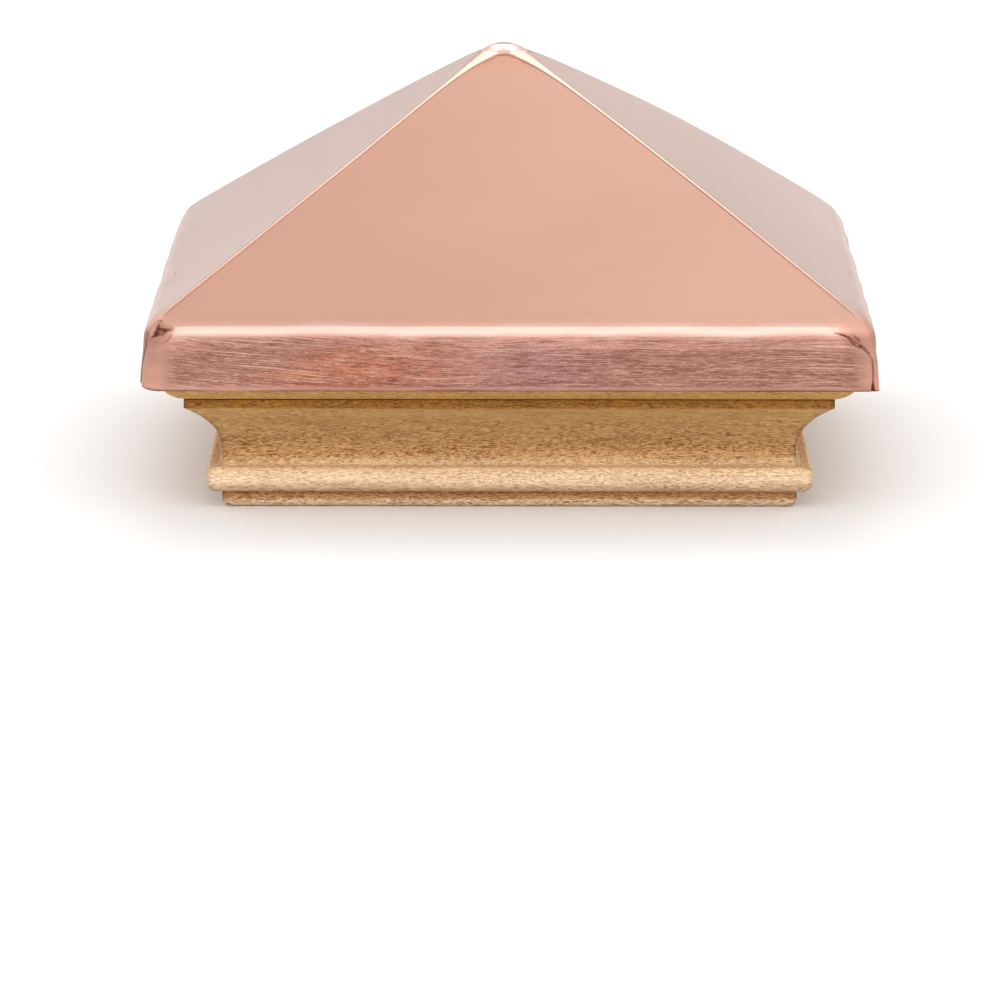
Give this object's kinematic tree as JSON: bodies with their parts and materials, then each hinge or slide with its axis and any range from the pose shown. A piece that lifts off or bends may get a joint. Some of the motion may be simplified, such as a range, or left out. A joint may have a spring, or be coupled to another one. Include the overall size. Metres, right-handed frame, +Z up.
{
  "type": "fence post cap",
  "caption": "Slip-over fence post cap: folded copper pyramid over a solid wood core, with a mitred cove-and-bead moulding frame that forms a square socket for a timber post.",
  "frame": {"origin": "centre of the moulding frame's open underside, on the cap's lowest plane", "axes": "+Z up along the post, -Y the front side, +X to the right; the cap repeats on all four sides"},
  "size_m": [0.1396, 0.1396, 0.082],
  "materials": {
    "copper": "bare copper sheet, directional brushed satin",
    "moulding_wood": "bare sanded softwood, milled",
    "core_wood": "bare planed softwood",
    "nail_steel": "galvanised",
    "adhesive": "cured construction adhesive, matte"
  },
  "bodies": {
    "root": {"copper_cover": "copper", "core_board": "core_wood", "core_peak": "core_wood", "moulding_front": "moulding_wood", "moulding_right": "moulding_wood", "moulding_back": "moulding_wood", "moulding_left": "moulding_wood", "frame_nails": "nail_steel", "mitre_brads": "nail_steel", "cover_adhesive": "adhesive"}
  },
  "joints": []
}
